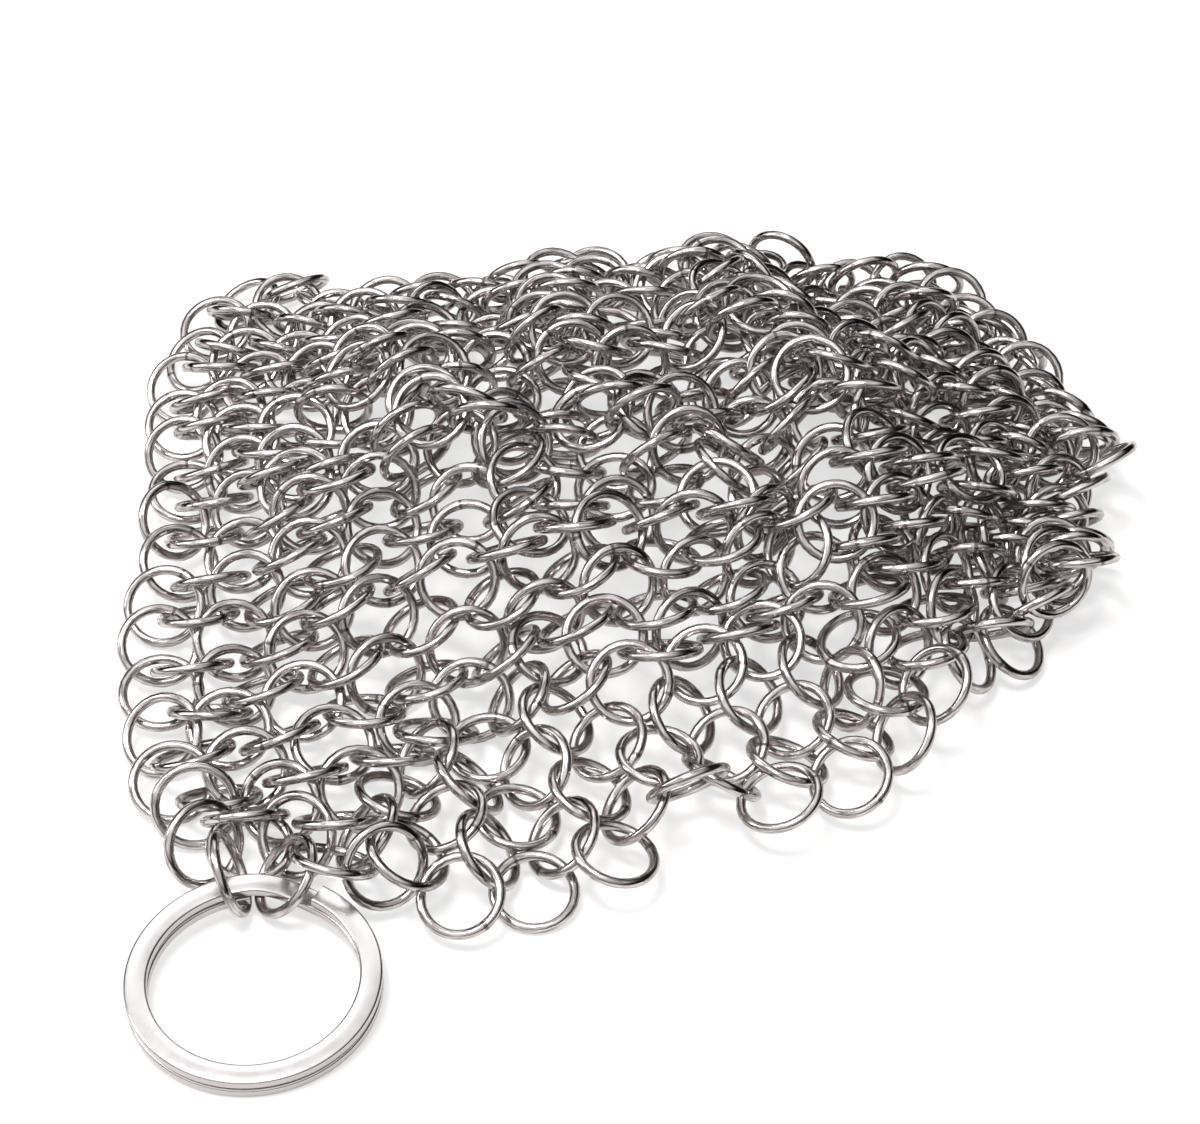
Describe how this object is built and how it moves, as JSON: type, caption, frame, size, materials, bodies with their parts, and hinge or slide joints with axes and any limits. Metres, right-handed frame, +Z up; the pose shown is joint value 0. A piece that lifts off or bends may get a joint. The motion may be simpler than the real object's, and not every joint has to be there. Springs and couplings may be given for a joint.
{
  "type": "chainmail scrubber",
  "caption": "Cloth of small linked steel rings for scouring pans, lying in a loose folded heap, with a flat split ring through one corner to hang it by.",
  "frame": {"origin": "centre of the bounding box of the whole heap, on the ground that it lies on", "axes": "+Z up; +X to the right and +Y away from a viewer who stands at the hem, with the split ring at the front left"},
  "size_m": [0.129, 0.1414, 0.0251],
  "materials": {
    "mail_steel": "drawn stainless wire, tumbled bright",
    "key_ring_steel": "flat strip, polished bright"
  },
  "bodies": {
    "mail": {"mail_patch_01": "mail_steel", "mail_patch_02": "mail_steel", "mail_patch_03": "mail_steel", "mail_patch_04": "mail_steel", "mail_patch_05": "mail_steel", "mail_patch_06": "mail_steel", "mail_patch_07": "mail_steel", "mail_patch_08": "mail_steel", "mail_patch_09": "mail_steel", "mail_patch_10": "mail_steel", "mail_patch_11": "mail_steel", "mail_patch_12": "mail_steel", "mail_patch_13": "mail_steel", "mail_patch_14": "mail_steel", "mail_patch_15": "mail_steel", "mail_patch_16": "mail_steel", "mail_patch_17": "mail_steel", "mail_patch_18": "mail_steel", "mail_patch_19": "mail_steel", "mail_patch_20": "mail_steel", "mail_patch_21": "mail_steel", "mail_patch_22": "mail_steel", "mail_patch_23": "mail_steel", "mail_patch_24": "mail_steel", "mail_patch_25": "mail_steel", "mail_patch_26": "mail_steel", "mail_patch_27": "mail_steel", "mail_patch_28": "mail_steel", "mail_patch_29": "mail_steel", "mail_patch_30": "mail_steel", "mail_patch_31": "mail_steel", "mail_patch_32": "mail_steel", "mail_patch_33": "mail_steel", "mail_patch_34": "mail_steel", "mail_patch_35": "mail_steel", "mail_patch_36": "mail_steel", "mail_patch_37": "mail_steel", "mail_patch_38": "mail_steel", "mail_patch_39": "mail_steel", "mail_patch_40": "mail_steel", "mail_patch_41": "mail_steel", "mail_patch_42": "mail_steel", "hem_ring_01": "mail_steel", "hem_ring_02": "mail_steel"},
    "hem_ring_03_body": {"hem_ring_03": "mail_steel"},
    "hem_ring_04_body": {"hem_ring_04": "mail_steel"},
    "hem_ring_05_body": {"hem_ring_05": "mail_steel"},
    "hem_ring_06_body": {"hem_ring_06": "mail_steel"},
    "hem_ring_07_body": {"hem_ring_07": "mail_steel"},
    "hem_ring_08_body": {"hem_ring_08": "mail_steel"},
    "hem_ring_09_body": {"hem_ring_09": "mail_steel"},
    "hem_ring_10_body": {"hem_ring_10": "mail_steel"},
    "hem_ring_11_body": {"hem_ring_11": "mail_steel"},
    "hem_ring_12_body": {"hem_ring_12": "mail_steel"},
    "hem_ring_13_body": {"hem_ring_13": "mail_steel"},
    "hem_ring_14_body": {"hem_ring_14": "mail_steel"},
    "edge_ring_01_body": {"edge_ring_01": "mail_steel"},
    "edge_ring_02_body": {"edge_ring_02": "mail_steel"},
    "edge_ring_03_body": {"edge_ring_03": "mail_steel"},
    "key_ring_body": {"key_ring": "key_ring_steel"}
  },
  "joints": [
    {"name": "hem_ring_03_swing", "type": "hinge", "parent": "mail", "child": "hem_ring_03_body", "pos_m": [-0.02862, -0.04142, 0.00933], "axis": [0.8642, 0.4979, 0.0718], "range_deg": [0, 3]},
    {"name": "hem_ring_04_swing", "type": "hinge", "parent": "mail", "child": "hem_ring_04_body", "pos_m": [-0.02053, -0.04268, 0.00534], "axis": [-0.8851, -0.336, -0.3219], "range_deg": [0, 14.5]},
    {"name": "hem_ring_05_swing", "type": "hinge", "parent": "mail", "child": "hem_ring_05_body", "pos_m": [-0.01176, -0.04008, 0.00265], "axis": [-0.9617, -0.2663, -0.0656], "range_deg": [0, 6]},
    {"name": "hem_ring_06_swing", "type": "hinge", "parent": "mail", "child": "hem_ring_06_body", "pos_m": [-0.0032, -0.03695, 0.00552], "axis": [-0.9049, -0.3325, 0.2657], "range_deg": [0, 21]},
    {"name": "hem_ring_07_swing", "type": "hinge", "parent": "mail", "child": "hem_ring_07_body", "pos_m": [0.00619, -0.03204, 0.00736], "axis": [-0.9277, -0.3506, -0.1282], "range_deg": [0, 75]},
    {"name": "hem_ring_08_swing", "type": "hinge", "parent": "mail", "child": "hem_ring_08_body", "pos_m": [0.01537, -0.02819, 0.00511], "axis": [-0.8759, -0.3707, -0.3088], "range_deg": [0, 30]},
    {"name": "hem_ring_09_swing", "type": "hinge", "parent": "mail", "child": "hem_ring_09_body", "pos_m": [0.0232, -0.02473, 0.00473], "axis": [-0.7416, -0.4821, -0.4665], "range_deg": [0, 18]},
    {"name": "hem_ring_10_swing", "type": "hinge", "parent": "mail", "child": "hem_ring_10_body", "pos_m": [0.0296, -0.01956, 0.00464], "axis": [0.363, 0.6415, 0.6758], "range_deg": [0, 10]},
    {"name": "hem_ring_11_swing", "type": "hinge", "parent": "mail", "child": "hem_ring_11_body", "pos_m": [0.03333, -0.01313, 0.00702], "axis": [-0.4623, -0.5738, -0.6761], "range_deg": [0, 7]},
    {"name": "hem_ring_12_swing", "type": "hinge", "parent": "mail", "child": "hem_ring_12_body", "pos_m": [0.03971, -0.00605, 0.00719], "axis": [0.6096, 0.6051, -0.5121], "range_deg": [0, 9]},
    {"name": "hem_ring_13_swing", "type": "hinge", "parent": "mail", "child": "hem_ring_13_body", "pos_m": [0.04646, -0.0011, 0.00472], "axis": [-0.8066, -0.0579, 0.5883], "range_deg": [0, 9]},
    {"name": "hem_ring_14_swing", "type": "hinge", "parent": "mail", "child": "hem_ring_14_body", "pos_m": [0.05175, -0.00015, 0.00871], "axis": [-0.9102, -0.4092, -0.0639], "range_deg": [0, 15]},
    {"name": "edge_ring_01_swing", "type": "hinge", "parent": "mail", "child": "edge_ring_01_body", "pos_m": [-0.04604, -0.03163, 0.0038], "axis": [0.0262, 0.6277, 0.7781], "range_deg": [0, 42]},
    {"name": "edge_ring_02_swing", "type": "hinge", "parent": "mail", "child": "edge_ring_02_body", "pos_m": [-0.05438, 0.00391, 0.00518], "axis": [-0.6428, 0.6226, 0.4462], "range_deg": [0, 33]},
    {"name": "edge_ring_03_swing", "type": "hinge", "parent": "mail", "child": "edge_ring_03_body", "pos_m": [-0.05459, 0.01507, 0.00343], "axis": [-0.4258, -0.8704, -0.2471], "range_deg": [0, 33]},
    {"name": "key_ring_swing", "type": "hinge", "parent": "mail", "child": "key_ring_body", "pos_m": [-0.0366, -0.0455, 0.00342], "axis": [-0.9317, 0.3622, 0.0285], "range_deg": [0, 40]}
  ]
}
